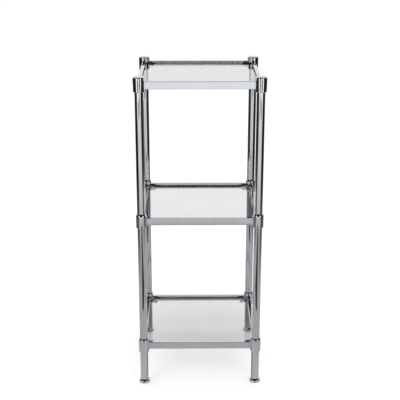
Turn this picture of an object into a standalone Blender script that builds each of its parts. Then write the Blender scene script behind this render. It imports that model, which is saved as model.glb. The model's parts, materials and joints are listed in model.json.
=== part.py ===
"""Three-level glass shelving tower: chrome posts, cast corner connectors, rails, glass and levelling feet.

Metres, +Z up. The origin is on the floor at the middle of the plan, and the front faces -Y.
"""

import math

import bmesh
import bpy
from mathutils import Matrix, Vector

# Plan and levels
POST_SPACING_X = 0.310
POST_SPACING_Y = 0.310
BOTTOM_RAIL_TOP = 0.125
LOWER_BAY_PITCH = 0.365
UPPER_BAY_PITCH = 0.365

# Round tube of the posts and legs
TUBE_DIAMETER = 0.022
TUBE_WALL = 0.0012

# Corner connectors
COLLAR_DIAMETER = 0.0285
COLLAR_ABOVE_RAIL = 0.012
COLLAR_BELOW_RAIL = 0.008
COLLAR_SHOULDER_DRAW_IN = 0.0026
COLLAR_SHOULDER_HEIGHT = 0.0082
COLLAR_BOTTOM_ROUND = 0.0018
CAP_TOP_DIAMETER = 0.0306
CAP_BOTTOM_DIAMETER = 0.0290
CAP_ROUND = 0.0022
SOCKET_DEPTH = 0.017
SEAT_REACH = 0.017
TONGUE_LENGTH = 0.016
LEDGE_ROOT_WIDTH = 0.0110
LEDGE_TIP_WIDTH = 0.013
LEDGE_THICKNESS = 0.004

# Rails of rectangular tube
RAIL_HEIGHT = 0.020
RAIL_THICKNESS = 0.010
RAIL_WALL = 0.0012
RAIL_CORNER_RADIUS = 0.0010

# Glass shelves and the bumpers under them
GLASS_THICKNESS = 0.005
GLASS_BELOW_RAIL_TOP = 0.006
GLASS_CORNER_RADIUS = 0.040
GLASS_ARRIS = 0.0005
BUMPER_DIAMETER = 0.009
BUMPER_THICKNESS = 0.0018
BUMPER_INSET = 0.0016

# Stud at each tube's upper end, and threaded plug in its lower end
STUD_DIAMETER = 0.008
STUD_ENGAGEMENT = 0.012
CAP_STUD_DEPTH = 0.009
PLUG_LENGTH = 0.014

# Levelling feet and their floor pads
FOOT_DOME_HEIGHT = 0.0075
FOOT_RIM_DIAMETER = 0.030
FOOT_RIM_HEIGHT = 0.001
FOOT_UNDERCUT_HEIGHT = 0.0023
FOOT_BASE_DIAMETER = 0.0266
FOOT_STUD_LENGTH = 0.028
PAD_DIAMETER = 0.020
PAD_THICKNESS = 0.003
PAD_STANDS_PROUD = 0.0012
PAD_STEM_DIAMETER = 0.005
PAD_STEM_LENGTH = 0.004

# Fits
SEAT_GAP = 0.0003
GLASS_EDGE_GAP = 0.001

# Smoothness of the round shapes
ROUND_STEPS = 16
PAD_STEPS = 12
BUMPER_STEPS = 8
GLASS_CORNER_STEPS = 6
LEDGE_TIP_STEPS = 4
SHOULDER_STEPS = 4
CURVE_STEPS = 2
EDGE_STEPS = 1
SHARP_ANGLE = math.radians(40)
WELD_DISTANCE = 0.00001

COLLECTION_NAME = "glass_shelving_tower"
CUTTER_COLLECTION_NAME = "construction"

# Corners in order round the plan, each a quarter turn on from the one before
CORNERS = (("front_left", -1, -1), ("front_right", 1, -1), ("back_right", 1, 1), ("back_left", -1, 1))
LEVELS = ("bottom", "middle", "top")

# Heights of each level's rail tops, and of what is measured from them
RAIL_TOPS = {
    "bottom": BOTTOM_RAIL_TOP,
    "middle": BOTTOM_RAIL_TOP + LOWER_BAY_PITCH,
    "top": BOTTOM_RAIL_TOP + LOWER_BAY_PITCH + UPPER_BAY_PITCH,
}
COLLAR_BOTTOM = -RAIL_HEIGHT - COLLAR_BELOW_RAIL
LOWER_SEAT = COLLAR_BOTTOM + SOCKET_DEPTH
UPPER_SEAT = COLLAR_ABOVE_RAIL - SOCKET_DEPTH
GLASS_UNDERSIDE = -GLASS_BELOW_RAIL_TOP - GLASS_THICKNESS
LEDGE_TOP = GLASS_UNDERSIDE - BUMPER_THICKNESS - 2 * SEAT_GAP

# Radii that fit into one another
TUBE_RADIUS = TUBE_DIAMETER / 2
TUBE_BORE_RADIUS = TUBE_RADIUS - TUBE_WALL
SOCKET_RADIUS = TUBE_RADIUS + SEAT_GAP
COLLAR_RADIUS = COLLAR_DIAMETER / 2
STUD_RADIUS = STUD_DIAMETER / 2
STUD_HOLE_RADIUS = STUD_RADIUS + SEAT_GAP
COLLAR_MID_WALL = (SOCKET_RADIUS + COLLAR_RADIUS) / 2

# The glass corner's nearest point to its post, and the bumper measured from it
GLASS_EDGE_OFFSET = RAIL_THICKNESS / 2 + GLASS_EDGE_GAP
GLASS_CORNER_REACH = math.sqrt(2) * (GLASS_EDGE_OFFSET + GLASS_CORNER_RADIUS) - GLASS_CORNER_RADIUS
BUMPER_REACH = GLASS_CORNER_REACH + BUMPER_INSET + BUMPER_DIAMETER / 2

# Heights of the foot's own steps above the floor
FOOT_BASE = PAD_STANDS_PROUD
FOOT_RIM_BOTTOM = FOOT_BASE + FOOT_UNDERCUT_HEIGHT
FOOT_RIM_TOP = FOOT_RIM_BOTTOM + FOOT_RIM_HEIGHT
FOOT_TOP = FOOT_RIM_TOP + FOOT_DOME_HEIGHT
LEG_BOTTOM = FOOT_TOP + SEAT_GAP


def new_collection(name):
    """Add an empty collection to the scene."""
    collection = bpy.data.collections.new(name)
    bpy.context.scene.collection.children.link(collection)
    return collection


def new_material(name, colour, roughness, metallic, transmission=0.0):
    """Make a plain Principled material."""
    material = bpy.data.materials.new(name)
    material.use_nodes = True
    shader = material.node_tree.nodes["Principled BSDF"]
    shader.inputs["Base Color"].default_value = (*colour, 1.0)
    shader.inputs["Roughness"].default_value = roughness
    shader.inputs["Metallic"].default_value = metallic
    shader.inputs["Transmission Weight"].default_value = transmission
    return material


def evaluated_mesh(source, name):
    """Freeze an object's modifiers or curve into a welded mesh, and remove the object."""
    bpy.context.view_layer.update()
    graph = bpy.context.evaluated_depsgraph_get()
    mesh = bpy.data.meshes.new_from_object(source.evaluated_get(graph))
    mesh.name = name
    edit = bmesh.new()
    edit.from_mesh(mesh)
    bmesh.ops.remove_doubles(edit, verts=edit.verts, dist=WELD_DISTANCE)
    bmesh.ops.recalc_face_normals(edit, faces=edit.faces)
    edit.to_mesh(mesh)
    edit.free()
    bpy.data.objects.remove(source)
    return mesh


def smooth(mesh):
    """Shade round faces smooth and keep the hard edges."""
    mesh.shade_smooth()
    mesh.set_sharp_from_angle(angle=SHARP_ANGLE)


def add_part(name, mesh, material, location=(0, 0, 0), turn=0.0):
    """Place one named sub-part."""
    part = bpy.data.objects.new(name, mesh)
    if not mesh.materials:
        mesh.materials.append(material)
    part.location = location
    part.rotation_euler = (0, 0, turn)
    parts.objects.link(part)


def add_helper(name, data):
    """Place a construction object that is not a sub-part."""
    helper = bpy.data.objects.new(name, data)
    helper.hide_render = True
    helper.display_type = "WIRE"
    helpers.objects.link(helper)
    return helper


def turned_helper(name, outline, closed, steps):
    """Turn an outline of (radius, height) points, listed down its outer side, about Z."""
    mesh = bpy.data.meshes.new(name)
    edges = [(i, i + 1) for i in range(len(outline) - 1)]
    if closed:
        edges.append((len(outline) - 1, 0))
    mesh.from_pydata([(radius, 0, height) for radius, height in outline], edges, [])
    helper = add_helper(name, mesh)
    screw = helper.modifiers.new("turn", "SCREW")
    screw.axis = "Z"
    screw.steps = steps
    screw.render_steps = steps
    screw.use_merge_vertices = True
    screw.merge_threshold = WELD_DISTANCE
    return helper


def turned(name, outline, closed=False, steps=ROUND_STEPS):
    """Mesh of a turned shape."""
    mesh = evaluated_mesh(turned_helper(name, outline, closed, steps), name)
    smooth(mesh)
    return mesh


def arc(centre, radii, start, end, steps):
    """Points along an elliptical arc, angles in degrees, both ends included."""
    points = []
    for step in range(steps + 1):
        angle = math.radians(start + (end - start) * step / steps)
        points.append((centre[0] + radii[0] * math.cos(angle), centre[1] + radii[1] * math.sin(angle)))
    return points


def shoulder(radius, top, draw_in, height):
    """Points down a round shoulder that runs into an upright side without a crease."""
    bend = (height ** 2 + draw_in ** 2) / (2 * draw_in)
    sweep = 2 * math.degrees(math.atan2(draw_in, height))
    return arc((radius - bend, top - height), (bend, bend), sweep, 0, SHOULDER_STEPS)


def rounded_rectangle(width, depth, radius, steps):
    """Outline of a rectangle with round corners, centred on the origin."""
    points = []
    for index, (sign_x, sign_y) in enumerate(((1, 1), (-1, 1), (-1, -1), (1, -1))):
        centre = (sign_x * (width / 2 - radius), sign_y * (depth / 2 - radius))
        points += arc(centre, (radius, radius), 90 * index, 90 * index + 90, steps)
    return points


def plate_curve(name, outlines, thickness, arris=0.0):
    """Flat outlines filled and thickened evenly about Z = 0, with an optional ground arris."""
    curve = bpy.data.curves.new(name, "CURVE")
    curve.dimensions = "2D"
    curve.fill_mode = "BOTH"
    curve.extrude = thickness / 2 - arris
    curve.bevel_depth = arris
    curve.bevel_resolution = 0
    curve.offset = -arris
    for outline in outlines:
        spline = curve.splines.new("POLY")
        spline.points.add(len(outline) - 1)
        for point, (x, y) in zip(spline.points, outline):
            point.co = (x, y, 0, 1)
        spline.use_cyclic_u = True
    return curve


def box_mesh(name, low, high):
    """Mesh of a box between two corners."""
    edit = bmesh.new()
    bmesh.ops.create_cube(edit, size=1)
    low, high = Vector(low), Vector(high)
    bmesh.ops.scale(edit, vec=high - low, verts=edit.verts)
    bmesh.ops.translate(edit, vec=(low + high) / 2, verts=edit.verts)
    mesh = bpy.data.meshes.new(name)
    edit.to_mesh(mesh)
    edit.free()
    return mesh


def unite(body, additions):
    """Join construction objects to a body with Boolean unions and return the finished mesh."""
    for addition in additions:
        union = body.modifiers.new(addition.name, "BOOLEAN")
        union.operation = "UNION"
        union.object = addition
    mesh = evaluated_mesh(body, body.name)
    for addition in additions:
        bpy.data.objects.remove(addition)
    smooth(mesh)
    return mesh


def post_axis(sign_x, sign_y, height=0.0):
    """Point on a corner's post axis."""
    return (sign_x * POST_SPACING_X / 2, sign_y * POST_SPACING_Y / 2, height)


# Corner connectors


def rail_side_additions():
    """Seats and tongues towards the two neighbouring posts, and the ledge under the glass corner."""
    additions = []
    tongue_half_width = RAIL_THICKNESS / 2 - RAIL_WALL - SEAT_GAP
    tongue_inset = RAIL_WALL + SEAT_GAP
    for index, (along, across) in enumerate(((0, 1), (1, 0))):
        steps = (
            ("seat", COLLAR_MID_WALL, SEAT_REACH, RAIL_THICKNESS / 2, 0.0),
            ("tongue", COLLAR_MID_WALL, SEAT_REACH + TONGUE_LENGTH, tongue_half_width, tongue_inset),
        )
        for kind, start, end, half_width, inset in steps:
            low = [0.0, 0.0, -RAIL_HEIGHT + inset]
            high = [0.0, 0.0, -inset]
            low[along], high[along] = start, end
            low[across], high[across] = -half_width, half_width
            name = f"{kind}_{index}"
            additions.append(add_helper(name, box_mesh(name, low, high)))
    tip = LEDGE_TIP_WIDTH / 2
    root = LEDGE_ROOT_WIDTH / 2
    outline = arc((BUMPER_REACH, 0), (tip, tip), -90, 90, LEDGE_TIP_STEPS)
    outline += [(COLLAR_MID_WALL, root), (COLLAR_MID_WALL, -root)]
    ledge_curve = add_helper("ledge", plate_curve("ledge", [outline], LEDGE_THICKNESS))
    ledge = add_helper("glass_ledge", evaluated_mesh(ledge_curve, "glass_ledge"))
    ledge.location = (0, 0, LEDGE_TOP - LEDGE_THICKNESS / 2)
    ledge.rotation_euler = (0, 0, math.radians(45))
    additions.append(ledge)
    return additions


def collar_outline():
    """Through collar: a long round shoulder, a socket from each end and a stud hole in the web between."""
    top = shoulder(COLLAR_RADIUS, COLLAR_ABOVE_RAIL, COLLAR_SHOULDER_DRAW_IN, COLLAR_SHOULDER_HEIGHT)
    bottom = arc(
        (COLLAR_RADIUS - COLLAR_BOTTOM_ROUND, COLLAR_BOTTOM + COLLAR_BOTTOM_ROUND),
        (COLLAR_BOTTOM_ROUND, COLLAR_BOTTOM_ROUND), 0, -90, EDGE_STEPS)
    inside = [
        (SOCKET_RADIUS, COLLAR_BOTTOM),
        (SOCKET_RADIUS, LOWER_SEAT),
        (STUD_HOLE_RADIUS, LOWER_SEAT),
        (STUD_HOLE_RADIUS, UPPER_SEAT),
        (SOCKET_RADIUS, UPPER_SEAT),
        (SOCKET_RADIUS, COLLAR_ABOVE_RAIL),
    ]
    return top + bottom + inside


def cap_outline():
    """Closed top connector: tapered sides, a rounded top edge, one socket and a blind stud hole."""
    top_radius = CAP_TOP_DIAMETER / 2
    bottom_radius = CAP_BOTTOM_DIAMETER / 2
    top = arc(
        (top_radius - CAP_ROUND, COLLAR_ABOVE_RAIL - CAP_ROUND), (CAP_ROUND, CAP_ROUND), 90, 0, CURVE_STEPS)
    bottom = arc(
        (bottom_radius - COLLAR_BOTTOM_ROUND, COLLAR_BOTTOM + COLLAR_BOTTOM_ROUND),
        (COLLAR_BOTTOM_ROUND, COLLAR_BOTTOM_ROUND), 0, -90, EDGE_STEPS)
    inside = [
        (SOCKET_RADIUS, COLLAR_BOTTOM),
        (SOCKET_RADIUS, LOWER_SEAT),
        (STUD_HOLE_RADIUS, LOWER_SEAT),
        (STUD_HOLE_RADIUS, LOWER_SEAT + CAP_STUD_DEPTH),
        (0.0, LOWER_SEAT + CAP_STUD_DEPTH),
    ]
    return [(0.0, COLLAR_ABOVE_RAIL)] + top + bottom + inside


def add_connectors():
    """A connector at every corner of every level."""
    through = unite(
        turned_helper("through_connector", collar_outline(), True, ROUND_STEPS), rail_side_additions())
    cap = unite(turned_helper("cap_connector", cap_outline(), False, ROUND_STEPS), rail_side_additions())
    for level in LEVELS:
        mesh = cap if level == "top" else through
        for index, (corner, sign_x, sign_y) in enumerate(CORNERS):
            place = post_axis(sign_x, sign_y, RAIL_TOPS[level])
            add_part(f"{level}_connector_{corner}", mesh, chrome, place, index * math.pi / 2)


# Posts and legs


def tube_outline(length, stud_length):
    """Tube with a stud on its closed upper end and a threaded plug in its lower end."""
    return [
        (0.0, length + stud_length),
        (STUD_RADIUS, length + stud_length),
        (STUD_RADIUS, length),
        (TUBE_RADIUS, length),
        (TUBE_RADIUS, 0.0),
        (STUD_HOLE_RADIUS, 0.0),
        (STUD_HOLE_RADIUS, PLUG_LENGTH),
        (TUBE_BORE_RADIUS, PLUG_LENGTH),
        (TUBE_BORE_RADIUS, length - PLUG_LENGTH),
        (0.0, length - PLUG_LENGTH),
    ]


def add_tubes():
    """Each tube's stud passes up through the connector above it, into the next tube or the cap."""
    through_stud = SEAT_GAP + (UPPER_SEAT - LOWER_SEAT) + SEAT_GAP + STUD_ENGAGEMENT
    lengths = (
        ("leg", LEG_BOTTOM, RAIL_TOPS["bottom"], through_stud),
        ("lower_post", RAIL_TOPS["bottom"] + UPPER_SEAT + SEAT_GAP, RAIL_TOPS["middle"], through_stud),
        ("upper_post", RAIL_TOPS["middle"] + UPPER_SEAT + SEAT_GAP, RAIL_TOPS["top"], CAP_STUD_DEPTH),
    )
    for kind, low, rail_top_above, stud in lengths:
        high = rail_top_above + LOWER_SEAT - SEAT_GAP
        mesh = turned(kind, tube_outline(high - low, stud))
        for corner, sign_x, sign_y in CORNERS:
            add_part(f"{kind}_{corner}", mesh, chrome, post_axis(sign_x, sign_y, low))


# Rails


def rail_mesh(name, length):
    """Rectangular tube along X, its top face at Z = 0."""
    outer = rounded_rectangle(RAIL_HEIGHT, RAIL_THICKNESS, RAIL_CORNER_RADIUS, EDGE_STEPS)
    bore_x = RAIL_HEIGHT / 2 - RAIL_WALL
    bore_y = RAIL_THICKNESS / 2 - RAIL_WALL
    bore = [(bore_x, bore_y), (-bore_x, bore_y), (-bore_x, -bore_y), (bore_x, -bore_y)]
    mesh = evaluated_mesh(add_helper(name, plate_curve(name, [outer, bore], length)), name)
    mesh.transform(Matrix.Translation((0, 0, -RAIL_HEIGHT / 2)) @ Matrix.Rotation(math.pi / 2, 4, "Y"))
    smooth(mesh)
    return mesh


def add_rails():
    """Four rails on each level, over the connectors' tongues."""
    end_inset = 2 * (SEAT_REACH + SEAT_GAP)
    across = rail_mesh("rail_across", POST_SPACING_X - end_inset)
    deep = rail_mesh("rail_deep", POST_SPACING_Y - end_inset)
    for level in LEVELS:
        height = RAIL_TOPS[level]
        add_part(f"{level}_rail_front", across, chrome, (0, -POST_SPACING_Y / 2, height))
        add_part(f"{level}_rail_back", across, chrome, (0, POST_SPACING_Y / 2, height))
        add_part(f"{level}_rail_left", deep, chrome, (-POST_SPACING_X / 2, 0, height), math.pi / 2)
        add_part(f"{level}_rail_right", deep, chrome, (POST_SPACING_X / 2, 0, height), math.pi / 2)


# Glass


def add_shelves():
    """A glass pane inside each frame of rails, on bumpers that stand on the connectors' ledges."""
    width = POST_SPACING_X - 2 * GLASS_EDGE_OFFSET
    depth = POST_SPACING_Y - 2 * GLASS_EDGE_OFFSET
    outline = rounded_rectangle(width, depth, GLASS_CORNER_RADIUS, GLASS_CORNER_STEPS)
    pane_curve = add_helper("pane", plate_curve("pane", [outline], GLASS_THICKNESS, GLASS_ARRIS))
    pane = evaluated_mesh(pane_curve, "pane")
    smooth(pane)
    bumper_radius = BUMPER_DIAMETER / 2
    bumper = turned("bumper", [
        (0.0, BUMPER_THICKNESS),
        (bumper_radius, BUMPER_THICKNESS),
        (bumper_radius, 0.0),
        (0.0, 0.0),
    ], steps=BUMPER_STEPS)
    inward = BUMPER_REACH / math.sqrt(2)
    for level in LEVELS:
        middle = RAIL_TOPS[level] + GLASS_UNDERSIDE + GLASS_THICKNESS / 2
        add_part(f"{level}_glass_shelf", pane, glass, (0, 0, middle))
        height = RAIL_TOPS[level] + LEDGE_TOP + SEAT_GAP
        for corner, sign_x, sign_y in CORNERS:
            axis = post_axis(sign_x, sign_y)
            place = (axis[0] - sign_x * inward, axis[1] - sign_y * inward, height)
            add_part(f"{level}_bumper_{corner}", bumper, clear_rubber, place)


# Feet


def foot_outline():
    """Domed foot with its stud above and a recess below for the floor pad."""
    rim = FOOT_RIM_DIAMETER / 2
    base = FOOT_BASE_DIAMETER / 2
    recess = PAD_DIAMETER / 2 + SEAT_GAP
    stem_hole = PAD_STEM_DIAMETER / 2 + SEAT_GAP
    stud_top = FOOT_TOP + FOOT_STUD_LENGTH
    dome = shoulder(rim, FOOT_TOP, rim - TUBE_RADIUS, FOOT_DOME_HEIGHT)
    undercut = arc((base, FOOT_RIM_BOTTOM), (rim - base, FOOT_UNDERCUT_HEIGHT), 0, -90, CURVE_STEPS)
    recess_top = PAD_THICKNESS + SEAT_GAP
    stem_top = recess_top + PAD_STEM_LENGTH
    above = [(0.0, stud_top), (STUD_RADIUS, stud_top), (STUD_RADIUS, FOOT_TOP)]
    below = [
        (recess, FOOT_BASE),
        (recess, recess_top),
        (stem_hole, recess_top),
        (stem_hole, stem_top),
        (0.0, stem_top),
    ]
    return above + dome + undercut + below


def add_feet():
    """Feet that screw into the legs, each on a pad that it turns over."""
    foot = turned("foot", foot_outline())
    pad_radius = PAD_DIAMETER / 2
    stem_radius = PAD_STEM_DIAMETER / 2
    pad = turned("pad", [
        (0.0, PAD_THICKNESS + PAD_STEM_LENGTH),
        (stem_radius, PAD_THICKNESS + PAD_STEM_LENGTH),
        (stem_radius, PAD_THICKNESS),
        (pad_radius, PAD_THICKNESS),
        (pad_radius, 0.0),
        (0.0, 0.0),
    ], steps=PAD_STEPS)
    for corner, sign_x, sign_y in CORNERS:
        add_part(f"foot_{corner}", foot, chrome, post_axis(sign_x, sign_y))
        add_part(f"foot_pad_{corner}", pad, nylon, post_axis(sign_x, sign_y))


for old in list(bpy.data.objects):
    bpy.data.objects.remove(old)

parts = new_collection(COLLECTION_NAME)
helpers = new_collection(CUTTER_COLLECTION_NAME)

chrome = new_material("polished_chrome", (0.72, 0.73, 0.75), 0.06, 1.0)
glass = new_material("clear_glass", (0.90, 0.95, 0.93), 0.02, 0.0, 1.0)
nylon = new_material("grey_nylon", (0.18, 0.18, 0.19), 0.55, 0.0)
clear_rubber = new_material("clear_bumper", (0.85, 0.87, 0.86), 0.25, 0.0, 0.6)

add_connectors()
add_tubes()
add_rails()
add_shelves()
add_feet()
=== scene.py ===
"""Looks of the glass shelving tower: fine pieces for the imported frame, materials, studio and camera.

Metres, +Z up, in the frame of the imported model. The front faces -Y.
"""

import json
import math

import bmesh
import bpy
from mathutils import Matrix, Vector

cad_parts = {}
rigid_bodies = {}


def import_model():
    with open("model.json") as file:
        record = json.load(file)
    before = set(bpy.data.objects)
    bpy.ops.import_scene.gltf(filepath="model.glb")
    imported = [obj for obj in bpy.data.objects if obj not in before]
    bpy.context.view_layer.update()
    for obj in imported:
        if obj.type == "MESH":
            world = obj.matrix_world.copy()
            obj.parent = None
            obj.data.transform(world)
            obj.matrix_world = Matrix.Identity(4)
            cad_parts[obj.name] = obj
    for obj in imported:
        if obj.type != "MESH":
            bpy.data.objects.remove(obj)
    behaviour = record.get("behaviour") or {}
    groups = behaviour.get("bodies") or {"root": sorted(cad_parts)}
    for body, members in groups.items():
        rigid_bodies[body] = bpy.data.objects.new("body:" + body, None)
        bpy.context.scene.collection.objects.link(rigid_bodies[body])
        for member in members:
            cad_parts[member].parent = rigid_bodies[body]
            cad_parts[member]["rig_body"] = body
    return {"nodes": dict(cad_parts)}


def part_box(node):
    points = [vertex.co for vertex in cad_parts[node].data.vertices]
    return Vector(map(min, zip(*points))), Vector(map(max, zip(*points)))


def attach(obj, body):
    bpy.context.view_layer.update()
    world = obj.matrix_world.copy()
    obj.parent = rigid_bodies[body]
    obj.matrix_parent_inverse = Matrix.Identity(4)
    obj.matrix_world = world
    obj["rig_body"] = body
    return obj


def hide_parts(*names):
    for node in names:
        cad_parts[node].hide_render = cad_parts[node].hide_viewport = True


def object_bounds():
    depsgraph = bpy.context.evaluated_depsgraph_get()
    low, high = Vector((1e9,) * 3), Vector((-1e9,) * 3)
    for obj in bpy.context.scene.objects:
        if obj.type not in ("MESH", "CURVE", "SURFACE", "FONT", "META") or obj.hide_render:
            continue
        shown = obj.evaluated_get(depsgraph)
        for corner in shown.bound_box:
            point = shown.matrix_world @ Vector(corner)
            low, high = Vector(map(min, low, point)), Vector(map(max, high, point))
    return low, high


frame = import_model()
cad_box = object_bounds()

CORNERS = ("front_left", "front_right", "back_right", "back_left")
LEVELS = ("bottom", "middle", "top")

# Tube
TUBE_RADIUS = 0.011
TUBE_BORE_RADIUS = 0.0098
TUBE_END_CHAMFER = 0.0003
PLUG_LENGTH = 0.014
STUD_RADIUS = 0.004
STUD_HOLE_RADIUS = 0.0043
THREAD_PITCH = 0.00125
THREAD_DEPTH = 0.0006

# Connectors, heights from the rail tops
COLLAR_RADIUS = 0.01425
COLLAR_TOP = 0.012
COLLAR_BOTTOM = -0.028
COLLAR_SHOULDER_DRAW_IN = 0.0026
COLLAR_SHOULDER_HEIGHT = 0.0082
COLLAR_BOTTOM_ROUND = 0.0018
CAP_TOP_RADIUS = 0.0153
CAP_BOTTOM_RADIUS = 0.0145
CAP_ROUND = 0.0032
CAP_STUD_DEPTH = 0.009
SOCKET_RADIUS = 0.0113
SOCKET_DEPTH = 0.017
SOCKET_LIP = 0.0004
COLLAR_MID_WALL = (SOCKET_RADIUS + COLLAR_RADIUS) / 2
SEAT_REACH = 0.017
SEAT_FILLET = 0.0012
SEAT_FILLET_START = 0.0134
SEAT_END_CHAMFER = 0.00025
TONGUE_LENGTH = 0.016
TONGUE_INSET = 0.0015
LEDGE_TOP = -0.0134
LEDGE_THICKNESS = 0.004
LEDGE_ROOT_WIDTH = 0.011
LEDGE_TIP_WIDTH = 0.013
LEDGE_ROUND = 0.0008

# Rails
RAIL_HEIGHT = 0.020
RAIL_THICKNESS = 0.010
RAIL_WALL = 0.0012
RAIL_CORNER_RADIUS = 0.001
RAIL_BORE_RADIUS = 0.0003
RAIL_END_CHAMFER = 0.00025

# Glass and bumpers
GLASS_CORNER_RADIUS = 0.040
GLASS_EDGE_ROUND = 0.0008
BUMPER_TOP_RADIUS = 0.0024
BUMPER_SIDE_HEIGHT = 0.0005

# Feet and pads, heights from the floor
FOOT_TOP = 0.012
FOOT_STUD_LENGTH = 0.028
FOOT_STUD_RELIEF = 0.0012
FOOT_RIM_RADIUS = 0.015
FOOT_RIM_BOTTOM = 0.0035
FOOT_RIM_TOP = 0.0045
FOOT_BASE = 0.0012
FOOT_BASE_RADIUS = 0.0133
PAD_RADIUS = 0.010
PAD_THICKNESS = 0.003
PAD_ROUND = 0.0006
PAD_STEM_RADIUS = 0.0025
PAD_STEM_LENGTH = 0.004
PAD_GROOVE_RADII = (0.0052, 0.0072)
PAD_GROOVE_DEPTH = 0.0004
FIT_GAP = 0.0003

# Fineness
ROUND_STEPS = 64
PAD_STEPS = 48
PAD_ROUND_STEPS = 3
FILLET_STEPS = 6
GLASS_CORNER_STEPS = 20
THREAD_ROWS = 8
SMOOTH_ANGLE = math.radians(32)

# Camera
SENSOR_WIDTH = 36
CAMERA_DISTANCE = 2.3957
CAMERA_HEIGHT = 1.2844
CAMERA_LENS = 80.692
CAMERA_PITCH = 0.3211
CAMERA_YAW = 0.01107
CAMERA_TURN = 0.00094
CAMERA_ROLL = 0.00084

# Studio
FLOOR_SIZE = 60.0
FLOOR_DROP = 0.0003
FLOOR_COLOUR = (0.66, 0.66, 0.66)
FLOOR_LIFT = 0.46
# Through the glass the floor gets less lift near the tower: a painted shade that fades out over the span
FLOOR_LIFT_PAINTED_SHADE_THROUGH_GLASS = 0.33
FLOOR_PAINTED_SHADE_SPAN = (0.3, 1.4)
WORLD_FILL = 0.86
# Name, place, size and power
LAMPS = (
    ("key_soft_box", (-1.6, -1.9, 2.2), 0.85, 14),
    ("fill_soft_box", (1.15, -2.2, 2.1), 0.7, 9),
    ("top_soft_box", (0.2, 0.5, 3.0), 0.9, 10),
)

# Cards that only mirror reflections see: metres from the tower's axis, degrees from the front
CARD_STEPS = 48
CARD_LIFT = 0.006
DARK = 0.015
FRONT_FLAG = [(-0.34, -1.42, 0), (0.34, -1.42, 0), (0.34, -0.62, 0), (-0.34, -0.62, 0)]
FRONT_FLAG_BRIGHTNESS = 0.06
STAND_REACHES = (3.4, 3.95)
STAND_DIRECTIONS = {"left": (-27, -11), "right": (12, 28)}
STRIP_BOX_RADIUS = 4.6
STRIP_BOX_HEIGHTS = (0.02, 2.1)
STRIP_BOX_HALF_WIDTH = 9.0
STRIP_BOX_SOFT_EDGE = (4, 9)
STRIP_BOX_BRIGHTNESS = 2.4
STRIP_BOX_CENTRES = {"left": -43.5, "right": 39.5}
GLOW_REACHES = (3.4, 4.6)
GLOW_DIRECTIONS = {"left": (-47, -30), "right": (31, 46)}
GLOW_BRIGHTNESS = 1.5
CEILING_REACHES = (0.0, 3.6)
CEILING_DIRECTIONS = (-95, 95)
CEILING_HEIGHT = 3.3
WALL_RADIUS = 7.0
WALL_HEIGHTS = (0.25, 6.5)
WALL_DIRECTIONS = (-118, 118)
WALL_BRIGHT_ENDS = (88, 118)
WALL_END_BRIGHTNESS = 1.0

# Sweep, the mirrored studio floor: a step has the distances over which it changes and its new brightness
SWEEP_REACHES = (0.0, 12.0)
SWEEP_DIRECTIONS = (0, 360)
SWEEP_LIFT = 0.0005
SWEEP_COLOUR = (0.98, 1.0, 1.03)
# Painted shade of the tower on the mirrored floor, faded out by the first near step
SWEEP_PAINTED_SHADE_UNDER_TOWER = 0.36
SWEEP_NEAR_STEPS = (((0.12, 0.27), 0.67), ((0.28, 0.42), 0.57))
SWEEP_FRONT_STEPS = (((0.72, 2.6), 0.98), ((2.8, 4.4), 1.20))
SWEEP_NEAR_SIDE_STEP = ((0.75, 1.35), 0.16)
SWEEP_FAR_SIDE_SPAN = (1.3, 2.2)
SWEEP_FAR_SIDE = 0.012
SWEEP_LANE = 0.045
SWEEP_LANE_DIRECTION = 90.0
SWEEP_LANE_EDGE = (4, 6)
SWEEP_BEHIND_STEP = ((0.75, 2.2), 0.30)
SWEEP_FRONT_EDGE = (36, 52)
SWEEP_BACK_EDGE = (122, 150)


def middle(node):
    """Middle of a CAD node's box."""
    low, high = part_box(node)
    return (low + high) / 2


# Places and sizes read from the frame
rail_top = {level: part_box(f"{level}_rail_front")[1].z for level in LEVELS}
post_place = {corner: middle(f"foot_pad_{corner}").xy for corner in CORNERS}


# Mesh tools


def flat_mesh(edit, name):
    """Finish a bmesh as a mesh."""
    mesh = bpy.data.meshes.new(name)
    edit.to_mesh(mesh)
    edit.free()
    return mesh


def mesh_from(edit, name):
    """Finish a bmesh as a mesh with smooth faces and hard edges."""
    bmesh.ops.recalc_face_normals(edit, faces=edit.faces)
    mesh = flat_mesh(edit, name)
    shade(mesh)
    return mesh


def shade(mesh):
    """Smooth round faces, hard edges at real corners."""
    mesh.shade_smooth()
    mesh.set_sharp_from_angle(angle=SMOOTH_ANGLE)


def skin(name, rings, joined=False):
    """Mesh through a row of rings of equally many points, closed on itself or capped at both ends."""
    edit = bmesh.new()
    rows = [[edit.verts.new(point) for point in ring] for ring in rings]
    pairs = list(zip(rows, rows[1:]))
    if joined:
        pairs.append((rows[-1], rows[0]))
    else:
        edit.faces.new(rows[0])
        edit.faces.new(rows[-1])
    for first, second in pairs:
        for index in range(len(first)):
            after = (index + 1) % len(first)
            edit.faces.new((first[index], first[after], second[after], second[index]))
    return mesh_from(edit, name)


def circle(radius, height, steps):
    """Points of a level ring; the radius may be a function of the angle."""
    points = []
    for step in range(steps):
        angle = 2 * math.pi * step / steps
        reach = radius(angle) if callable(radius) else radius
        points.append((reach * math.cos(angle), reach * math.sin(angle), height))
    return points


def turned(name, outline, joined=False, steps=ROUND_STEPS):
    """Turn an outline of (radius, height) points about Z."""
    return skin(name, [circle(radius, height, steps) for radius, height in outline], joined)


def arc(centre, radii, start, end, steps=FILLET_STEPS):
    """Points along an elliptical arc, angles in degrees, both ends included."""
    points = []
    for step in range(steps + 1):
        angle = math.radians(start + (end - start) * step / steps)
        points.append((centre[0] + radii[0] * math.cos(angle), centre[1] + radii[1] * math.sin(angle)))
    return points


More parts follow.
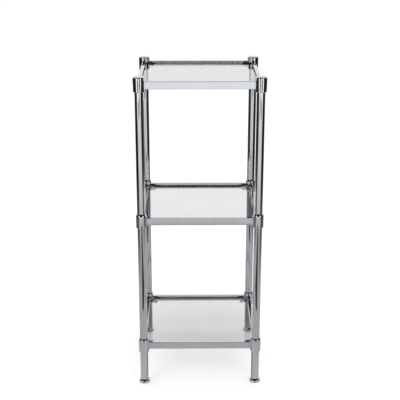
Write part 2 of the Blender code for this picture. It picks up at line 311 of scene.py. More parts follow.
def shoulder(radius, top, draw_in, height):
    """Points down a round shoulder that runs into an upright side without a crease."""
    bend = (height ** 2 + draw_in ** 2) / (2 * draw_in)
    sweep = 2 * math.degrees(math.atan2(draw_in, height))
    return arc((radius - bend, top - height), (bend, bend), sweep, 0, 2 * FILLET_STEPS)


def rounded_rectangle(width, depth, radius, steps):
    """Outline of a rectangle with round corners, centred on the origin."""
    points = []
    for index, (sign_x, sign_y) in enumerate(((1, 1), (-1, 1), (-1, -1), (1, -1))):
        centre = (sign_x * (width / 2 - radius), sign_y * (depth / 2 - radius))
        points += arc(centre, (radius, radius), 90 * index, 90 * index + 90, steps)
    return points


def bar_ring(along, grow, radius):
    """Section of the rail's outline across X, grown by a margin, with the rail top at Z = 0."""
    outline = rounded_rectangle(RAIL_THICKNESS + 2 * grow, RAIL_HEIGHT + 2 * grow, radius, FILLET_STEPS)
    return [(along, across, up - RAIL_HEIGHT / 2) for across, up in outline]


def unite(name, meshes):
    """Boolean union of closed meshes."""
    helpers = [bpy.data.objects.new(f"{name}_{index}", mesh) for index, mesh in enumerate(meshes)]
    for helper in helpers:
        bpy.context.scene.collection.objects.link(helper)
    for helper in helpers[1:]:
        union = helpers[0].modifiers.new(helper.name, "BOOLEAN")
        union.operation = "UNION"
        union.solver = "EXACT"
        union.object = helper
    bpy.context.view_layer.update()
    graph = bpy.context.evaluated_depsgraph_get()
    mesh = bpy.data.meshes.new_from_object(helpers[0].evaluated_get(graph))
    mesh.name = name
    for helper in helpers:
        bpy.data.objects.remove(helper)
    shade(mesh)
    return mesh


def add_piece(name, mesh, look, node, place, turn=0.0):
    """Put a piece where its CAD node is, on the node's body, with the given look as its material."""
    piece = bpy.data.objects.new(name, mesh)
    if not mesh.materials:
        mesh.materials.append(looks[look])
    piece.location = place
    piece.rotation_euler = (0, 0, turn)
    bpy.context.scene.collection.objects.link(piece)
    normals = piece.modifiers.new("even_normals", "WEIGHTED_NORMAL")
    normals.keep_sharp = True
    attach(piece, frame["nodes"][node]["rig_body"])
    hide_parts(node)


# Materials


class Look:
    """A node material under construction."""

    def __init__(self, name):
        self.material = bpy.data.materials.new(name)
        self.material.use_nodes = True
        self.tree = self.material.node_tree
        self.shader = self.tree.nodes["Principled BSDF"]
        coordinates = self.tree.nodes.new("ShaderNodeTexCoord")
        self.place = coordinates.outputs["Object"]
        self.normal = coordinates.outputs["Normal"]

    def set(self, **values):
        """Constant values on the shader's own sockets; underscores stand for spaces."""
        for name, value in values.items():
            self.shader.inputs[name.replace("_", " ")].default_value = value

    def link(self, output, socket):
        """Join an output to a shader socket."""
        self.tree.links.new(output, self.shader.inputs[socket])

    def noise(self, scale, detail=3.0, roughness=0.5, stretch=(1, 1, 1)):
        """Noise in the piece's own space."""
        mapping = self.tree.nodes.new("ShaderNodeMapping")
        mapping.inputs["Scale"].default_value = stretch
        noise = self.tree.nodes.new("ShaderNodeTexNoise")
        noise.inputs["Scale"].default_value = scale
        noise.inputs["Detail"].default_value = detail
        noise.inputs["Roughness"].default_value = roughness
        self.tree.links.new(self.place, mapping.inputs["Vector"])
        self.tree.links.new(mapping.outputs["Vector"], noise.inputs["Vector"])
        return noise.outputs["Fac"]

    def ramp(self, source, low, high, start=0.35, end=0.65):
        """Colours between two stops."""
        ramp = self.tree.nodes.new("ShaderNodeValToRGB")
        stops = ramp.color_ramp.elements
        stops[0].position = start
        stops[1].position = end
        stops[0].color = (*low, 1)
        stops[1].color = (*high, 1)
        self.tree.links.new(source, ramp.inputs["Fac"])
        return ramp.outputs["Color"]

    def spread(self, source, low, high, start=0.3, end=0.7):
        """Numbers between two values."""
        spread = self.tree.nodes.new("ShaderNodeMapRange")
        spread.inputs["From Min"].default_value = start
        spread.inputs["From Max"].default_value = end
        spread.inputs["To Min"].default_value = low
        spread.inputs["To Max"].default_value = high
        self.tree.links.new(source, spread.inputs["Value"])
        return spread.outputs["Result"]

    def bump(self, source, strength, distance):
        """Height relief on the shader's normal."""
        bump = self.tree.nodes.new("ShaderNodeBump")
        bump.inputs["Strength"].default_value = strength
        bump.inputs["Distance"].default_value = distance
        self.tree.links.new(source, bump.inputs["Height"])
        self.link(bump.outputs["Normal"], "Normal")

    def absorb(self, colour, density):
        """Constant absorption inside the body."""
        volume = self.tree.nodes.new("ShaderNodeVolumeAbsorption")
        volume.inputs["Color"].default_value = (*colour, 1)
        volume.inputs["Density"].default_value = density
        output = self.tree.nodes["Material Output"]
        self.tree.links.new(volume.outputs["Volume"], output.inputs["Volume"])

    def ground_edges_painted_dark(self, low, high, roughness):
        """Another, rough finish on the upright faces of a flat piece, coloured near black as a painted
        shade.
        """
        nodes = self.tree.nodes
        links = self.tree.links
        parts = nodes.new("ShaderNodeSeparateXYZ")
        links.new(self.normal, parts.inputs["Vector"])
        flatness = nodes.new("ShaderNodeMath")
        flatness.operation = "ABSOLUTE"
        links.new(parts.outputs["Z"], flatness.inputs[0])
        ground = nodes.new("ShaderNodeBsdfPrincipled")
        ground.inputs["Roughness"].default_value = roughness
        grain = self.noise(scale=700, detail=3)
        links.new(self.ramp(grain, low, high), ground.inputs["Base Color"])
        both = nodes.new("ShaderNodeMixShader")
        flat_share = self.spread(flatness.outputs["Value"], 0.0, 1.0, start=0.90, end=0.98)
        links.new(flat_share, both.inputs["Fac"])
        links.new(ground.outputs["BSDF"], both.inputs[1])
        links.new(self.shader.outputs["BSDF"], both.inputs[2])
        links.new(both.outputs["Shader"], nodes["Material Output"].inputs["Surface"])


def chrome_look():
    """Bright plating with wiping smears, faint plating waviness and slightly uneven tone."""
    look = Look("polished_chrome_look")
    look.set(Metallic=1.0)
    tone = look.noise(scale=14, detail=4)
    look.link(look.ramp(tone, (0.565, 0.575, 0.595), (0.605, 0.613, 0.630)), "Base Color")
    smears = look.noise(scale=38, detail=5, roughness=0.6, stretch=(1, 1, 0.35))
    look.link(look.spread(smears, 0.03, 0.065), "Roughness")
    waviness = look.noise(scale=160, detail=2)
    look.bump(waviness, strength=0.012, distance=0.0002)
    return look.material


def glass_look():
    """Clear float glass with faint wiping smears; its ground edges are painted near-black green, a painted
    shade for the long way light takes through the glass.
    """
    look = Look("clear_glass_look")
    look.set(Transmission_Weight=1.0, IOR=1.5)
    tone = look.noise(scale=9, detail=3)
    look.link(look.ramp(tone, (0.935, 0.940, 0.935), (0.955, 0.960, 0.955)), "Base Color")
    smears = look.noise(scale=16, detail=5, roughness=0.6, stretch=(1, 0.3, 1))
    look.link(look.spread(smears, 0.0, 0.035, start=0.45, end=0.8), "Roughness")
    look.absorb(colour=(0.0, 0.03, 0.02), density=40.0)
    # Painted shade: the edges get a near-black green colour for the darkness of the long path through the
    # glass
    look.ground_edges_painted_dark((0.010, 0.024, 0.023), (0.020, 0.044, 0.042), roughness=0.38)
    return look.material


def nylon_look():
    """Moulded grey nylon with fine grain and scuffs."""
    look = Look("grey_nylon_look")
    look.set(IOR=1.53)
    tone = look.noise(scale=320, detail=4)
    look.link(look.ramp(tone, (0.13, 0.13, 0.14), (0.21, 0.21, 0.22)), "Base Color")
    scuffs = look.noise(scale=90, detail=4)
    look.link(look.spread(scuffs, 0.42, 0.66), "Roughness")
    grain = look.noise(scale=2600, detail=3)
    look.bump(grain, strength=0.25, distance=0.0001)
    return look.material


def bumper_look():
    """Soft clear polyurethane with a little haze."""
    look = Look("clear_bumper_look")
    look.set(Transmission_Weight=1.0, IOR=1.49)
    tone = look.noise(scale=220, detail=3)
    look.link(look.ramp(tone, (0.90, 0.91, 0.89), (0.96, 0.965, 0.955)), "Base Color")
    haze = look.noise(scale=400, detail=4)
    look.link(look.spread(haze, 0.10, 0.24), "Roughness")
    grain = look.noise(scale=1500, detail=2)
    look.bump(grain, strength=0.1, distance=0.0001)
    return look.material


looks = {
    "polished_chrome": chrome_look(),
    "clear_glass": glass_look(),
    "grey_nylon": nylon_look(),
    "clear_bumper": bumper_look(),
}


# Connectors


def seat_mesh():
    """Rail seat towards +X, with a fillet where it leaves the collar and a chamfer at the rail joint."""
    rings = [bar_ring(COLLAR_MID_WALL, SEAT_FILLET, RAIL_CORNER_RADIUS + SEAT_FILLET)]
    for along, grow in arc((SEAT_FILLET, SEAT_FILLET), (SEAT_FILLET, SEAT_FILLET), 180, 270):
        rings.append(bar_ring(SEAT_FILLET_START + along, grow, RAIL_CORNER_RADIUS + grow))
    rings.append(bar_ring(SEAT_REACH - SEAT_END_CHAMFER, 0, RAIL_CORNER_RADIUS))
    rings.append(bar_ring(SEAT_REACH, -SEAT_END_CHAMFER, RAIL_CORNER_RADIUS - SEAT_END_CHAMFER))
    return skin("seat", rings)


def tongue_mesh():
    """Tongue that the rail slides over."""
    end = SEAT_REACH + TONGUE_LENGTH
    small = RAIL_CORNER_RADIUS / 2
    return skin("tongue", [
        bar_ring(COLLAR_MID_WALL, -TONGUE_INSET, small),
        bar_ring(end - TONGUE_INSET, -TONGUE_INSET, small),
        bar_ring(end, -2 * TONGUE_INSET, small),
    ])


def ledge_ring(inset, height, reach):
    """Outline of the glass ledge along the diagonal, drawn in by a margin."""
    tip = LEDGE_TIP_WIDTH / 2 - inset
    root = LEDGE_ROOT_WIDTH / 2 - inset
    outline = arc((reach, 0), (tip, tip), -90, 90, 4 * FILLET_STEPS)
    outline += [(COLLAR_MID_WALL, root), (COLLAR_MID_WALL, -root)]
    half = math.sqrt(0.5)
    return [((x - y) * half, (x + y) * half, height) for x, y in outline]


def ledge_mesh():
    """Glass ledge with rounded edges, out to the bumper's middle."""
    reach = (middle("bottom_bumper_front_left").xy - post_place["front_left"]).length
    bottom = LEDGE_TOP - LEDGE_THICKNESS
    rings = []
    for inset, drop in arc((LEDGE_ROUND, LEDGE_ROUND), (LEDGE_ROUND, LEDGE_ROUND), 270, 180):
        rings.append(ledge_ring(inset, LEDGE_TOP - drop, reach))
    for inset, rise in arc((LEDGE_ROUND, LEDGE_ROUND), (LEDGE_ROUND, LEDGE_ROUND), 180, 270):
        rings.append(ledge_ring(inset, bottom + rise, reach))
    return skin("ledge", rings)


def arm_meshes():
    """Two seats, two tongues and the glass ledge of one connector."""
    arms = []
    for make in (seat_mesh, tongue_mesh):
        for turn in (0.0, math.pi / 2):
            mesh = make()
            mesh.transform(Matrix.Rotation(turn, 4, "Z"))
            arms.append(mesh)
    arms.append(ledge_mesh())
    return arms


def through_collar():
    """Collar open at both ends, with a long round shoulder and small lips at the sockets."""
    top = shoulder(COLLAR_RADIUS, COLLAR_TOP, COLLAR_SHOULDER_DRAW_IN, COLLAR_SHOULDER_HEIGHT)
    bottom = arc(
        (COLLAR_RADIUS - COLLAR_BOTTOM_ROUND, COLLAR_BOTTOM + COLLAR_BOTTOM_ROUND),
        (COLLAR_BOTTOM_ROUND, COLLAR_BOTTOM_ROUND), 0, -90)
    lower_seat = COLLAR_BOTTOM + SOCKET_DEPTH
    upper_seat = COLLAR_TOP - SOCKET_DEPTH
    inside = [
        (SOCKET_RADIUS + SOCKET_LIP, COLLAR_BOTTOM),
        (SOCKET_RADIUS, COLLAR_BOTTOM + SOCKET_LIP),
        (SOCKET_RADIUS, lower_seat),
        (STUD_HOLE_RADIUS, lower_seat),
        (STUD_HOLE_RADIUS, upper_seat),
        (SOCKET_RADIUS, upper_seat),
        (SOCKET_RADIUS, COLLAR_TOP),
    ]
    return turned("through_collar", top + bottom + inside, joined=True)


def cap_collar():
    """Closed top collar with tapered sides and a rounded top edge."""
    top = arc((CAP_TOP_RADIUS - CAP_ROUND, COLLAR_TOP - CAP_ROUND), (CAP_ROUND, CAP_ROUND), 90, 0)
    bottom = arc(
        (CAP_BOTTOM_RADIUS - COLLAR_BOTTOM_ROUND, COLLAR_BOTTOM + COLLAR_BOTTOM_ROUND),
        (COLLAR_BOTTOM_ROUND, COLLAR_BOTTOM_ROUND), 0, -90)
    lower_seat = COLLAR_BOTTOM + SOCKET_DEPTH
    inside = [
        (SOCKET_RADIUS + SOCKET_LIP, COLLAR_BOTTOM),
        (SOCKET_RADIUS, COLLAR_BOTTOM + SOCKET_LIP),
        (SOCKET_RADIUS, lower_seat),
        (STUD_HOLE_RADIUS, lower_seat),
        (STUD_HOLE_RADIUS, lower_seat + CAP_STUD_DEPTH),
    ]
    return turned("cap_collar", top + bottom + inside)


def add_connectors():
    """A connector at every corner of every level."""
    through = unite("through_connector", [through_collar()] + arm_meshes())
    cap = unite("cap_connector", [cap_collar()] + arm_meshes())
    for level in LEVELS:
        mesh = cap if level == "top" else through
        for index, corner in enumerate(CORNERS):
            node = f"{level}_connector_{corner}"
            place = (*post_place[corner], rail_top[level])
            add_piece(f"{node}_fine", mesh, "polished_chrome", node, place, index * math.pi / 2)


# Posts and legs


def tube_mesh(kind, length, stud):
    """Tube with chamfered ends, a stud on its closed top and a threaded plug in its foot."""
    return turned(kind, [
        (STUD_RADIUS - TUBE_END_CHAMFER, length + stud),
        (STUD_RADIUS, length + stud - TUBE_END_CHAMFER),
        (STUD_RADIUS, length),
        (TUBE_RADIUS - TUBE_END_CHAMFER, length),
        (TUBE_RADIUS, length - TUBE_END_CHAMFER),
        (TUBE_RADIUS, TUBE_END_CHAMFER),
        (TUBE_RADIUS - TUBE_END_CHAMFER, 0.0),
        (STUD_HOLE_RADIUS, 0.0),
        (STUD_HOLE_RADIUS, PLUG_LENGTH),
        (TUBE_BORE_RADIUS, PLUG_LENGTH),
        (TUBE_BORE_RADIUS, length - PLUG_LENGTH),
    ])


def add_tubes():
    """Three lengths of tube at every corner, each seated below the next connector's web."""
    for kind, above in (("leg", "bottom"), ("lower_post", "middle"), ("upper_post", "top")):
        low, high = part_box(f"{kind}_front_left")
        top = rail_top[above] + COLLAR_BOTTOM + SOCKET_DEPTH - FIT_GAP
        mesh = tube_mesh(kind, top - low.z, high.z - top)
        for corner in CORNERS:
            node = f"{kind}_{corner}"
            add_piece(f"{node}_fine", mesh, "polished_chrome", node, (*post_place[corner], low.z))


# Rails


def rail_mesh(name, length):
    """Rectangular tube along X with rounded corners and eased ends, its top face at Z = 0."""
    end = length / 2
    full_end = end - RAIL_END_CHAMFER
    eased = RAIL_CORNER_RADIUS - RAIL_END_CHAMFER
    return skin(name, [
        bar_ring(-end, -RAIL_WALL, RAIL_BORE_RADIUS),
        bar_ring(-end, -RAIL_END_CHAMFER, eased),
        bar_ring(-full_end, 0, RAIL_CORNER_RADIUS),
        bar_ring(full_end, 0, RAIL_CORNER_RADIUS),
        bar_ring(end, -RAIL_END_CHAMFER, eased),
        bar_ring(end, -RAIL_WALL, RAIL_BORE_RADIUS),
    ], joined=True)


def add_rails():
    """Four rails on each level."""
    low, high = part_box("top_rail_front")
    across = rail_mesh("rail_across", high.x - low.x)
    low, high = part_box("top_rail_left")
    deep = rail_mesh("rail_deep", high.y - low.y)
    for level in LEVELS:
        for side in ("front", "back", "left", "right"):
            node = f"{level}_rail_{side}"
            lengthwise = side in ("front", "back")
            place = (*middle(node).xy, rail_top[level])
            turn = 0.0 if lengthwise else math.pi / 2
            add_piece(f"{node}_fine", across if lengthwise else deep, "polished_chrome", node, place, turn)


# Glass


def pane_mesh(size):
    """Pane with round corners and eased edges, its underside at Z = 0."""
    ease = GLASS_EDGE_ROUND
    edge = arc((ease, ease), (ease, ease), 270, 180, FILLET_STEPS // 2)
    edge += [(inset, size.z - rise) for inset, rise in reversed(edge)]
    rings = []
    for inset, height in edge:
        outline = rounded_rectangle(
            size.x - 2 * inset, size.y - 2 * inset, GLASS_CORNER_RADIUS - inset, GLASS_CORNER_STEPS)
        rings.append([(x, y, height) for x, y in outline])
    return skin("pane", rings)


def bumper_mesh(size):
    """Low dome with a flat crown."""
    base = size.x / 2
    dome = arc(
        (BUMPER_TOP_RADIUS, BUMPER_SIDE_HEIGHT),
        (base - BUMPER_TOP_RADIUS, size.z - BUMPER_SIDE_HEIGHT), 0, 90)
    return turned("bumper", [(base, 0.0)] + dome, steps=PAD_STEPS)


def add_shelves():
    """A pane on each level, on four bumpers."""
    low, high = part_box("top_glass_shelf")
    pane = pane_mesh(high - low)
    low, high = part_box("top_bumper_front_left")
    bumper = bumper_mesh(high - low)
    for level in LEVELS:
        node = f"{level}_glass_shelf"
        add_piece(f"{node}_fine", pane, "clear_glass", node, (0, 0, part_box(node)[0].z))
        for corner in CORNERS:
            node = f"{level}_bumper_{corner}"
            place = (*middle(node).xy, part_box(node)[0].z)
            add_piece(f"{node}_fine", bumper, "clear_bumper", node, place)


# Feet


def thread_outline(low, high):
    """Rows of a screw thread, down from its blunt tip."""

    def reach(height):
        def at(angle):
            phase = (height / THREAD_PITCH - angle / (2 * math.pi)) % 1.0
            ridge = 1 - abs(2 * phase - 1)
            taper = min(1.0, (high - height) / THREAD_PITCH)
            return STUD_RADIUS - THREAD_DEPTH + THREAD_DEPTH * ridge * taper
        return at

    rows = round((high - low) / THREAD_PITCH * THREAD_ROWS)
    heights = [high + (low - high) * row / rows for row in range(rows + 1)]
    return [(reach(height), height) for height in heights]


def foot_mesh():
    """Domed foot with its threaded stud above and the pad's recess below."""
    neck = STUD_RADIUS - THREAD_DEPTH
    stud_top = FOOT_TOP + FOOT_STUD_LENGTH
    thread = thread_outline(FOOT_TOP + FOOT_STUD_RELIEF, stud_top - TUBE_END_CHAMFER)
    dome = shoulder(FOOT_RIM_RADIUS, FOOT_TOP, FOOT_RIM_RADIUS - TUBE_RADIUS, FOOT_TOP - FOOT_RIM_TOP)
    undercut = arc(
        (FOOT_BASE_RADIUS, FOOT_RIM_BOTTOM),
        (FOOT_RIM_RADIUS - FOOT_BASE_RADIUS, FOOT_RIM_BOTTOM - FOOT_BASE), 0, -90, 2 * FILLET_STEPS)
    recess = PAD_RADIUS + FIT_GAP
    stem_hole = PAD_STEM_RADIUS + FIT_GAP
    recess_top = PAD_THICKNESS + FIT_GAP
    below = [
        (recess, FOOT_BASE),
        (recess, recess_top),
        (stem_hole, recess_top),
        (stem_hole, recess_top + PAD_STEM_LENGTH),
    ]
    above = [(neck - TUBE_END_CHAMFER, stud_top)] + thread + [(neck, FOOT_TOP)]
    return turned("foot", above + dome + undercut + below)


def pad_mesh():
    """Floor pad with a rounded rim, a ring groove underneath and a snap stem with a barb."""
    stem_top = PAD_THICKNESS + PAD_STEM_LENGTH
    barb = PAD_STEM_RADIUS - PAD_ROUND / 2
    inner, outer = PAD_GROOVE_RADII
    rounding = (PAD_ROUND, PAD_ROUND)
    rim = arc((PAD_RADIUS - PAD_ROUND, PAD_THICKNESS - PAD_ROUND), rounding, 90, 0, PAD_ROUND_STEPS)
    floor_edge = arc((PAD_RADIUS - PAD_ROUND, PAD_ROUND), rounding, 0, -90, PAD_ROUND_STEPS)
    return turned("pad", [
        (barb - PAD_ROUND, stem_top),
        (PAD_STEM_RADIUS, stem_top - 2 * PAD_ROUND),
        (barb, stem_top - 3 * PAD_ROUND),
        (barb, PAD_THICKNESS),
        *rim,
        *floor_edge,
        (outer, 0.0),
        (outer - PAD_GROOVE_DEPTH, PAD_GROOVE_DEPTH),
        (inner + PAD_GROOVE_DEPTH, PAD_GROOVE_DEPTH),
        (inner, 0.0),
    ], steps=PAD_STEPS)


def add_feet():
    """Feet and the pads that they turn over."""
    foot = foot_mesh()
    pad = pad_mesh()
    for corner in CORNERS:
        place = (*post_place[corner], 0.0)
        add_piece(f"foot_{corner}_fine", foot, "polished_chrome", f"foot_{corner}", place)
        add_piece(f"foot_pad_{corner}_fine", pad, "grey_nylon", f"foot_pad_{corner}", place)


# Studio


def stage_object(mesh, material, lift):
    """Add a thing that is not part of the tower, named like its mesh."""
    thing = bpy.data.objects.new(mesh.name, mesh)
    mesh.materials.append(material)
    thing.location.z = lift
    bpy.context.scene.collection.objects.link(thing)
    return thing


def add_card(mesh, material, lift=0.0):
    """Add a card that only mirror reflections see."""
    card = stage_object(mesh, material, lift)
    card.visible_camera = False
    card.visible_diffuse = False
    card.visible_transmission = False
    card.visible_volume_scatter = False
    card.visible_shadow = False


def plate(name, points):
    """Flat mesh of one outline."""
    edit = bmesh.new()
    edit.faces.new([edit.verts.new(point) for point in points])
    return flat_mesh(edit, name)


def strip(name, edges):
    """Mesh between neighbouring edges of two points each."""
    edit = bmesh.new()
    rows = [(edit.verts.new(first), edit.verts.new(second)) for first, second in edges]
    for one, other in zip(rows, rows[1:]):
        edit.faces.new((one[0], one[1], other[1], other[0]))
    return flat_mesh(edit, name)


def ways(directions):
    """Level unit vectors at even steps from one direction to another, in degrees from -Y."""
    start, end = directions
    angles = [math.radians(start + (end - start) * step / CARD_STEPS) for step in range(CARD_STEPS + 1)]
    return [Vector((math.sin(angle), -math.cos(angle), 0)) for angle in angles]


def wall(name, radius, directions, heights):
    """Upright part of a cylinder about the tower's axis."""
    low, high = (Vector((0, 0, height)) for height in heights)
    return strip(name, [(way * radius + low, way * radius + high) for way in ways(directions)])


def sector(name, reaches, directions):
    """Level part of a ring about the tower's axis."""
    inner, outer = reaches
    return strip(name, [(way * inner, way * outer) for way in ways(directions)])


class Card:
    """An emission material under construction, graded over the floor plan about the tower's axis."""

    def __init__(self, name, colour=(1, 1, 1)):
        self.material = bpy.data.materials.new(name)
        self.material.use_nodes = True
        self.tree = self.material.node_tree
        self.tree.nodes.remove(self.tree.nodes["Principled BSDF"])
        self.emission = self.tree.nodes.new("ShaderNodeEmission")
        self.emission.inputs["Color"].default_value = (*colour, 1)
        output = self.tree.nodes["Material Output"]
        self.tree.links.new(self.emission.outputs["Emission"], output.inputs["Surface"])
        self.place = self.tree.nodes.new("ShaderNodeTexCoord").outputs["Object"]

    def feed(self, value, socket):
        """Give a socket a number, or link it to an output."""
        if isinstance(value, (int, float)):
            socket.default_value = value
        else:
            self.tree.links.new(value, socket)

    def math(self, operation, *values):
        """One step of arithmetic on outputs or numbers."""
        node = self.tree.nodes.new("ShaderNodeMath")
        node.operation = operation
        for value, socket in zip(values, node.inputs):
            self.feed(value, socket)
        return node.outputs["Value"]

    def distance(self):
        """Metres from the axis."""
        node = self.tree.nodes.new("ShaderNodeVectorMath")
        node.operation = "LENGTH"
        self.tree.links.new(self.place, node.inputs[0])
        return node.outputs["Value"]

    def swing(self):
        """Degrees away from the front, the same to both sides."""
        parts = self.tree.nodes.new("ShaderNodeSeparateXYZ")
        self.tree.links.new(self.place, parts.inputs["Vector"])
        forward = self.math("MULTIPLY", parts.outputs["Y"], -1.0)
        angle = self.math("ABSOLUTE", self.math("ARCTAN2", parts.outputs["X"], forward))
        return self.math("DEGREES", angle)

    def off_middle(self, centre):
        """Degrees away from a direction that is itself so many degrees away from the front."""
        return self.math("ABSOLUTE", self.math("SUBTRACT", self.swing(), centre))

    def between(self, source, span, low, high):
        """Smooth change from one brightness to another over a span of the source."""
        node = self.tree.nodes.new("ShaderNodeMapRange")
        node.interpolation_type = "SMOOTHSTEP"
        values = {"Value": source, "From Min": span[0], "From Max": span[1], "To Min": low, "To Max": high}
        for name, value in values.items():
            self.feed(value, node.inputs[name])
        return node.outputs["Result"]

    def grade(self, brightness, *steps):
        """Change the brightness step by step with the distance from the axis."""
        reach = self.distance()
        for span, new_brightness in steps:
            brightness = self.between(reach, span, brightness, new_brightness)
        return brightness

    def shine(self, brightness):
        """Set how bright the card is and return its material."""
        self.feed(brightness, self.emission.inputs["Strength"])
        return self.material


def sweep_look():
    """Studio floor as the chrome mirrors it: a painted shade under the tower, bright towards the camera,
    dark to the sides, grey behind.
    """
    card = Card("sweep_look", SWEEP_COLOUR)
    near = card.grade(SWEEP_PAINTED_SHADE_UNDER_TOWER, *SWEEP_NEAR_STEPS)
    front = card.grade(near, *SWEEP_FRONT_STEPS)
    off_lane = card.off_middle(SWEEP_LANE_DIRECTION)
    far_side = card.between(off_lane, SWEEP_LANE_EDGE, SWEEP_LANE, SWEEP_FAR_SIDE)
    side = card.grade(near, SWEEP_NEAR_SIDE_STEP, (SWEEP_FAR_SIDE_SPAN, far_side))
    behind = card.grade(near, SWEEP_BEHIND_STEP)
    front_and_side = card.between(card.swing(), SWEEP_FRONT_EDGE, front, side)
    return card.shine(card.between(card.swing(), SWEEP_BACK_EDGE, front_and_side, behind))


def strip_box_look(name, centre):
    """Tall soft box with soft upright edges, its middle so many degrees from the front."""
    card = Card(name)
    return card.shine(card.between(card.off_middle(centre), STRIP_BOX_SOFT_EDGE, STRIP_BOX_BRIGHTNESS, DARK))


def wall_look():
    """Dark room behind the camera, bright again at its far ends."""
    card = Card("camera_side_wall_look")
    return card.shine(card.between(card.swing(), WALL_BRIGHT_ENDS, DARK, WALL_END_BRIGHTNESS))


def floor_look():
    """Pale matt floor that reads as white to the camera and keeps the soft shadow; seen through the glass it
    has a painted shade, darker near the tower.
    """
    material = bpy.data.materials.new("pale_floor")
    material.use_nodes = True
    tree = material.node_tree
    tree.nodes.remove(tree.nodes["Principled BSDF"])
    matt = tree.nodes.new("ShaderNodeBsdfDiffuse")
    matt.inputs["Color"].default_value = (*FLOOR_COLOUR, 1)
    lift = tree.nodes.new("ShaderNodeEmission")
    path = tree.nodes.new("ShaderNodeLightPath")
    direct = tree.nodes.new("ShaderNodeMath")
    direct.operation = "MULTIPLY"
    direct.inputs[1].default_value = FLOOR_LIFT
    tree.links.new(path.outputs["Is Camera Ray"], direct.inputs[0])
    reach = tree.nodes.new("ShaderNodeVectorMath")
    reach.operation = "LENGTH"
    tree.links.new(tree.nodes.new("ShaderNodeTexCoord").outputs["Object"], reach.inputs[0])
    # Painted shade: less lift near the tower for rays that come through the glass
    behind = tree.nodes.new("ShaderNodeMapRange")
    behind.inputs["From Min"].default_value = FLOOR_PAINTED_SHADE_SPAN[0]
    behind.inputs["From Max"].default_value = FLOOR_PAINTED_SHADE_SPAN[1]
    behind.inputs["To Min"].default_value = FLOOR_LIFT_PAINTED_SHADE_THROUGH_GLASS
    behind.inputs["To Max"].default_value = FLOOR_LIFT
    tree.links.new(reach.outputs["Value"], behind.inputs["Value"])
    level = tree.nodes.new("ShaderNodeMath")
    level.operation = "MULTIPLY_ADD"
    tree.links.new(path.outputs["Is Transmission Ray"], level.inputs[0])
    tree.links.new(behind.outputs["Result"], level.inputs[1])
    tree.links.new(direct.outputs["Value"], level.inputs[2])
    tree.links.new(level.outputs["Value"], lift.inputs["Strength"])
    both = tree.nodes.new("ShaderNodeAddShader")
    tree.links.new(matt.outputs["BSDF"], both.inputs[0])
    tree.links.new(lift.outputs["Emission"], both.inputs[1])
    tree.links.new(both.outputs["Shader"], tree.nodes["Material Output"].inputs["Surface"])
    return material


def add_world():
    """White surround, a little lower for the light that it sheds."""
    world = bpy.data.worlds.new("white_surround")
    bpy.context.scene.world = world
    world.use_nodes = True
    tree = world.node_tree
    path = tree.nodes.new("ShaderNodeLightPath")
    strength = tree.nodes.new("ShaderNodeMapRange")
    strength.inputs["To Min"].default_value = 1.0
    strength.inputs["To Max"].default_value = WORLD_FILL
    tree.links.new(path.outputs["Is Diffuse Ray"], strength.inputs["Value"])
    background = tree.nodes["Background"]
    background.inputs["Color"].default_value = (1, 1, 1, 1)
    tree.links.new(strength.outputs["Result"], background.inputs["Strength"])


def add_lamp(name, place, size, power):
    """Square soft box aimed at the tower's middle."""
    data = bpy.data.lights.new(name, "AREA")
    data.shape = "SQUARE"
    data.size = size
    data.energy = power
    lamp = bpy.data.objects.new(name, data)
    lamp.location = place
    aim = Vector((0, 0, cad_box[1].z / 2)) - Vector(place)
    lamp.rotation_euler = aim.to_track_quat("-Z", "Y").to_euler()
    lamp.visible_glossy = False
    bpy.context.scene.collection.objects.link(lamp)


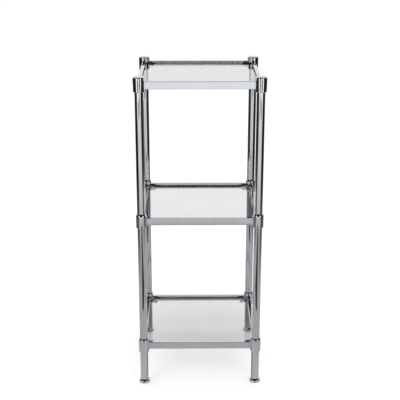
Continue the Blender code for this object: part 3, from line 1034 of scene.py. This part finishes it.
def add_studio():
    """Floor, surround, soft boxes and the cards that the chrome mirrors."""
    half = FLOOR_SIZE / 2
    square = [(-half, -half, 0), (half, -half, 0), (half, half, 0), (-half, half, 0)]
    stage_object(plate("floor", square), floor_look(), -FLOOR_DROP)
    add_world()
    for lamp in LAMPS:
        add_lamp(*lamp)
    dark = Card("flag_look").shine(DARK)
    stripe = Card("front_flag_look").shine(FRONT_FLAG_BRIGHTNESS)
    glow = Card("strip_glow_look").shine(GLOW_BRIGHTNESS)
    add_card(sector("sweep", SWEEP_REACHES, SWEEP_DIRECTIONS), sweep_look(), SWEEP_LIFT)
    add_card(plate("front_flag", FRONT_FLAG), stripe, CARD_LIFT)
    for side, directions in STAND_DIRECTIONS.items():
        add_card(sector(f"{side}_stand", STAND_REACHES, directions), dark, CARD_LIFT)
    for side, centre in STRIP_BOX_CENTRES.items():
        name = f"{side}_strip_box"
        directions = (centre - STRIP_BOX_HALF_WIDTH, centre + STRIP_BOX_HALF_WIDTH)
        box = wall(name, STRIP_BOX_RADIUS, directions, STRIP_BOX_HEIGHTS)
        add_card(box, strip_box_look(f"{name}_look", abs(centre)))
    for side, directions in GLOW_DIRECTIONS.items():
        add_card(sector(f"{side}_glow", GLOW_REACHES, directions), glow, CARD_LIFT)
    add_card(sector("ceiling", CEILING_REACHES, CEILING_DIRECTIONS), dark, CEILING_HEIGHT)
    add_card(wall("camera_side_wall", WALL_RADIUS, WALL_DIRECTIONS, WALL_HEIGHTS), wall_look())


def add_camera():
    """Camera at the photograph's place and angle."""
    data = bpy.data.cameras.new("camera")
    data.sensor_width = SENSOR_WIDTH
    data.lens = CAMERA_LENS
    camera = bpy.data.objects.new("camera", data)
    place = (-CAMERA_DISTANCE * math.sin(CAMERA_YAW), -CAMERA_DISTANCE * math.cos(CAMERA_YAW), CAMERA_HEIGHT)
    turn = Matrix.Rotation(-CAMERA_YAW - CAMERA_TURN, 4, "Z")
    pitch = Matrix.Rotation(math.pi / 2 - CAMERA_PITCH, 4, "X")
    roll = Matrix.Rotation(CAMERA_ROLL, 4, "Z")
    camera.matrix_world = Matrix.Translation(place) @ turn @ pitch @ roll
    bpy.context.scene.collection.objects.link(camera)
    bpy.context.scene.camera = camera
    bpy.context.scene.view_settings.view_transform = "Standard"


add_connectors()
add_tubes()
add_rails()
add_shelves()
add_feet()
add_studio()
add_camera()
